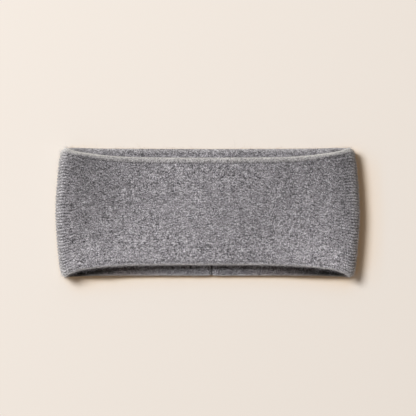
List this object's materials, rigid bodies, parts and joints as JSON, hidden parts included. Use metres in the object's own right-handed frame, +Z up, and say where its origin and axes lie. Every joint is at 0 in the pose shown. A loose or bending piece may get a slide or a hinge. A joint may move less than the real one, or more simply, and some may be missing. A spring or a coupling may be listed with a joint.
{
  "type": "ear warmer headband",
  "caption": "Wide knitted ear warmer headband lying flat: a double-thick loop with rounded rims, round folds and a sewn join at the back.",
  "frame": {"origin": "middle of the bounding box, on the surface that the back layer lies on", "axes": "+X from the left fold to the right fold, +Y across the knit towards the edge that is uppermost in the picture, +Z up from the surface"},
  "size_m": [0.24, 0.1022, 0.014],
  "materials": {
    "wool_knit": "matt heather grey knit",
    "seam_yarn": "matt grey yarn"
  },
  "bodies": {
    "root": {"band": "wool_knit", "back_seam": "seam_yarn"}
  },
  "joints": []
}
